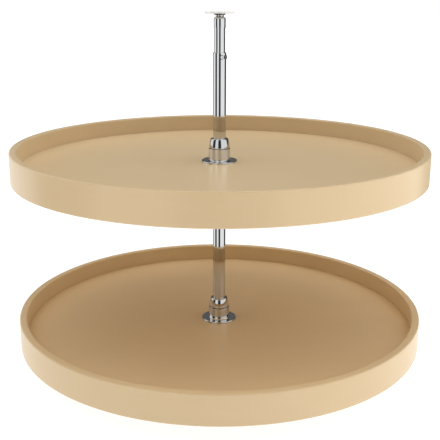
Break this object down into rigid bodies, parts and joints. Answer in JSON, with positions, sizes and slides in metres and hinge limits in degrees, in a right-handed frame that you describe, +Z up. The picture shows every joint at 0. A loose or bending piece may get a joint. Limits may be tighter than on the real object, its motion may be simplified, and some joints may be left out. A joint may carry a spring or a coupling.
{
  "type": "corner cabinet carousel",
  "caption": "Round rimmed trays above each other that turn on ball bearings round a telescopic shaft, for a corner base cabinet; both ends of the shaft take screws.",
  "frame": {"origin": "centre of the base plate's underside, on the cabinet's floor, on the shaft's axis", "axes": "+Z up along the shaft; -Y towards the front; +X to the right seen from the front"},
  "size_m": [0.7112, 0.7112, 0.5955],
  "materials": {
    "tray_rim": "smooth satin maple-coloured laminate on a bent ply rim",
    "tray_floor": "smooth satin maple-coloured laminate",
    "chrome": "mirror-polished chrome plate",
    "pale_plate": "white enamelled steel, its boss left bare",
    "zinc_plate": "bright zinc plate",
    "bearing_steel": "ground and polished bearing steel",
    "blackened_steel": "black oxide on steel",
    "nylon": "natural nylon"
  },
  "bodies": {
    "base": {"base_plate": "zinc_plate", "base_socket": "zinc_plate", "base_set_screw": "blackened_steel", "outer_tube": "chrome"},
    "lock_screw_front": {"lock_screw_front": "chrome"},
    "lock_screw_side": {"lock_screw_side": "chrome"},
    "inner_shaft": {"inner_tube": "chrome", "shaft_end_cap": "chrome", "pivot_pin": "bearing_steel", "thrust_washer": "chrome"},
    "top_plate": {"top_plate": "pale_plate"},
    "lower_collar": {"lower_bottom_race": "bearing_steel", "lower_support_collar": "zinc_plate"},
    "lower_collar_screw": {"lower_collar_set_screw": "blackened_steel"},
    "lower_tray": {"lower_tray_rim": "tray_rim", "lower_tray_panel": "tray_floor", "lower_hub": "chrome", "lower_hub_cap": "chrome", "lower_hub_bushes": "nylon", "lower_hub_screws": "zinc_plate", "lower_retaining_plate": "zinc_plate", "lower_top_race": "bearing_steel"},
    "lower_cage": {"lower_ball_cage": "nylon", "lower_balls": "bearing_steel"},
    "upper_collar": {"upper_bottom_race": "bearing_steel", "upper_support_collar": "zinc_plate"},
    "upper_collar_screw": {"upper_collar_set_screw": "blackened_steel"},
    "upper_tray": {"upper_tray_rim": "tray_rim", "upper_tray_panel": "tray_floor", "upper_hub": "chrome", "upper_hub_cap": "chrome", "upper_hub_bushes": "nylon", "upper_hub_screws": "zinc_plate", "upper_retaining_plate": "zinc_plate", "upper_top_race": "bearing_steel"},
    "upper_cage": {"upper_ball_cage": "nylon", "upper_balls": "bearing_steel"}
  },
  "joints": [
    {"name": "shaft_extend", "type": "slide", "parent": "base", "child": "inner_shaft", "axis": [0, 0, 1], "range_m": [-0.037, 0.09]},
    {"name": "top_plate_swivel", "type": "hinge", "parent": "inner_shaft", "child": "top_plate", "pos_m": [0, 0, 0.591], "axis": [0, 0, 1], "continuous": true},
    {"name": "lock_screw_front_travel", "type": "slide", "parent": "base", "child": "lock_screw_front", "axis": [0.342, -0.9397, 0], "range_m": [0, 0.0016]},
    {"name": "lock_screw_side_travel", "type": "slide", "parent": "base", "child": "lock_screw_side", "axis": [0.8829, -0.4695, 0], "range_m": [0, 0.0016]},
    {"name": "lower_collar_height", "type": "slide", "parent": "base", "child": "lower_collar", "axis": [0, 0, 1], "range_m": [0, 0.06]},
    {"name": "lower_tray_turn", "type": "hinge", "parent": "lower_collar", "child": "lower_tray", "pos_m": [0, 0, 0.04], "axis": [0, 0, 1], "continuous": true},
    {"name": "lower_cage_turn", "type": "hinge", "parent": "lower_collar", "child": "lower_cage", "pos_m": [0, 0, 0.0323], "axis": [0, 0, 1], "continuous": true},
    {"name": "lower_collar_screw_travel", "type": "slide", "parent": "lower_collar", "child": "lower_collar_screw", "axis": [0, 1, 0], "range_m": [0, 0.002]},
    {"name": "upper_collar_height", "type": "slide", "parent": "base", "child": "upper_collar", "axis": [0, 0, 1], "range_m": [-0.12, 0.12]},
    {"name": "upper_tray_turn", "type": "hinge", "parent": "upper_collar", "child": "upper_tray", "pos_m": [0, 0, 0.332], "axis": [0, 0, 1], "continuous": true},
    {"name": "upper_cage_turn", "type": "hinge", "parent": "upper_collar", "child": "upper_cage", "pos_m": [0, 0, 0.3243], "axis": [0, 0, 1], "continuous": true},
    {"name": "upper_collar_screw_travel", "type": "slide", "parent": "upper_collar", "child": "upper_collar_screw", "axis": [0, 1, 0], "range_m": [0, 0.002]}
  ],
  "couplings": [
    {"joint": "lower_cage_turn", "follows": "lower_tray_turn", "ratio": 0.5},
    {"joint": "upper_cage_turn", "follows": "upper_tray_turn", "ratio": 0.5}
  ]
}
